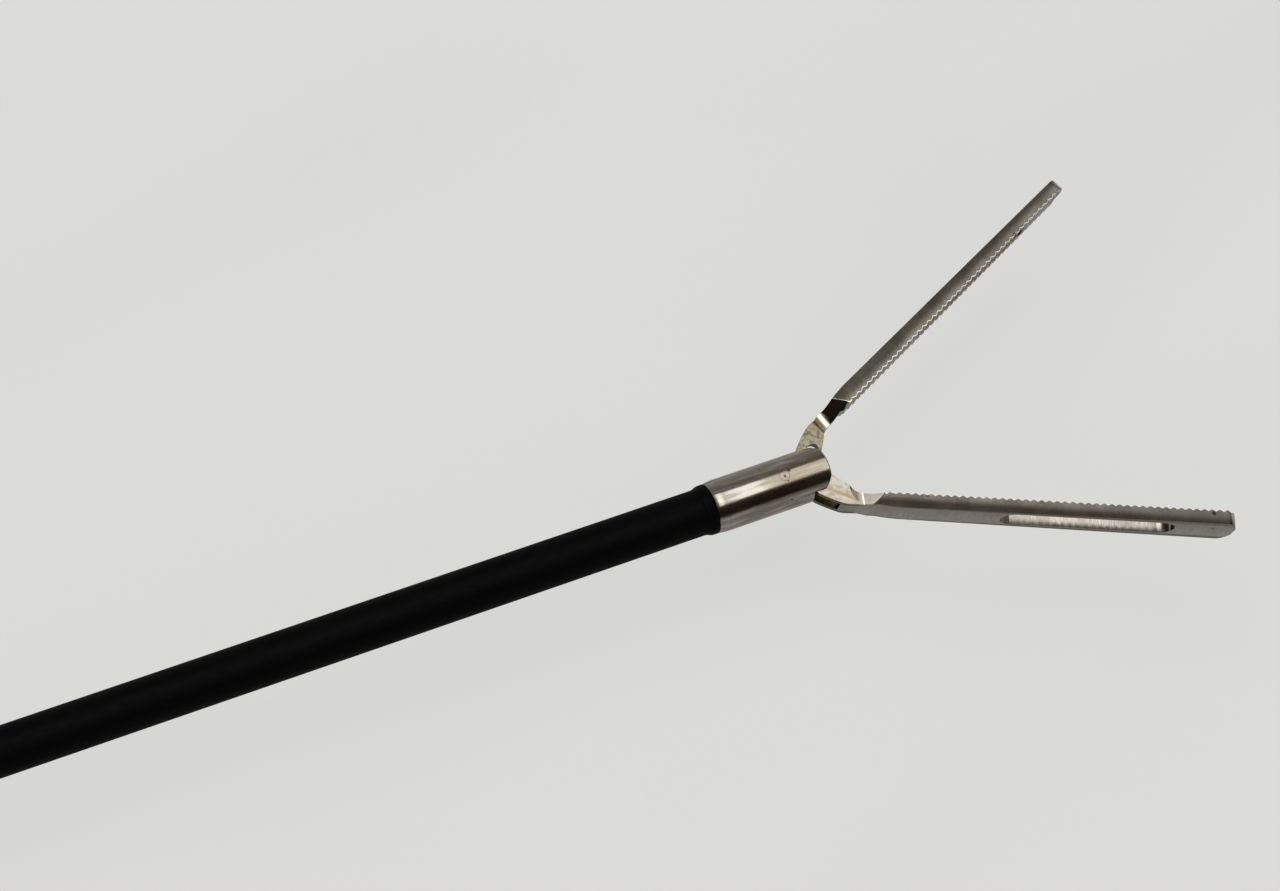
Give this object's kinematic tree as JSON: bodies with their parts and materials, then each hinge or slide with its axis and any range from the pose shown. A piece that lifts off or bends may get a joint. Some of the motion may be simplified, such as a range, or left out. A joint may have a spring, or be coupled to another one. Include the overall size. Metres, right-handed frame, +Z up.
{
  "type": "laparoscopic bowel grasper",
  "caption": "Long thin black shaft with a steel clevis and two long serrated, fenestrated jaws, a rotation knob and a ring handle.",
  "frame": {"origin": "middle of the underside of the bounding box, with the instrument lying on its side", "axes": "+X along the shaft towards the jaws, +Z up, +Y away from the finger rings"},
  "size_m": [0.5056, 0.1218, 0.0206],
  "materials": {
    "jaw_steel": "ground, slightly stained",
    "steel": "turned and polished",
    "pin_steel": "ground flush",
    "sleeve_black": "satin",
    "handle_black": "satin",
    "knob_grey": "satin",
    "seal_rubber": "matt",
    "brass": "plated"
  },
  "bodies": {
    "handle": {"handle_body": "handle_black", "front_bearing": "brass", "lever_pivot_screw": "steel", "lever_pivot_nut": "steel", "washer_left": "steel", "washer_right": "steel", "post_collar": "handle_black", "hf_post": "brass"},
    "shaft": {"clevis": "steel", "jaw_pivot_pin": "pin_steel", "inner_tube": "steel", "insulation_sleeve": "sleeve_black", "knob_hub": "steel", "rotation_knob": "knob_grey", "knob_set_screw": "steel", "retaining_ring": "steel", "rod_seal": "seal_rubber"},
    "rod": {"rod_fork": "steel", "pull_rod": "steel", "rod_ball": "steel", "drive_pin": "pin_steel"},
    "upper_jaw": {"jaw_upper": "jaw_steel"},
    "lower_jaw": {"jaw_lower": "jaw_steel"},
    "lever": {"thumb_lever": "handle_black"}
  },
  "joints": [
    {"name": "knob_turn", "type": "hinge", "parent": "handle", "child": "shaft", "pos_m": [-0.12428, 0.03082, 0.0103], "axis": [1, 0, 0], "continuous": true},
    {"name": "lever_squeeze", "type": "hinge", "parent": "handle", "child": "lever", "pos_m": [-0.17228, 0.04182, 0.0103], "axis": [0, 0, 1], "range_deg": [0, 15.68]},
    {"name": "rod_slide", "type": "slide", "parent": "shaft", "child": "rod", "axis": [1, 0, 0], "range_m": [0, 0.003]},
    {"name": "upper_jaw_swing", "type": "hinge", "parent": "shaft", "child": "upper_jaw", "pos_m": [0.21107, 0.03082, 0.0103], "axis": [0, 0, 1], "range_deg": [-25.51, 0]},
    {"name": "lower_jaw_swing", "type": "hinge", "parent": "shaft", "child": "lower_jaw", "pos_m": [0.21107, 0.03082, 0.0103], "axis": [0, 0, 1], "range_deg": [0, 23.46]}
  ],
  "couplings": [
    {"joint": "rod_slide", "follows": "lever_squeeze", "m_per_rad": 0.010966},
    {"joint": "upper_jaw_swing", "follows": "lever_squeeze", "ratio": -1.6268},
    {"joint": "lower_jaw_swing", "follows": "lever_squeeze", "ratio": 1.496}
  ]
}
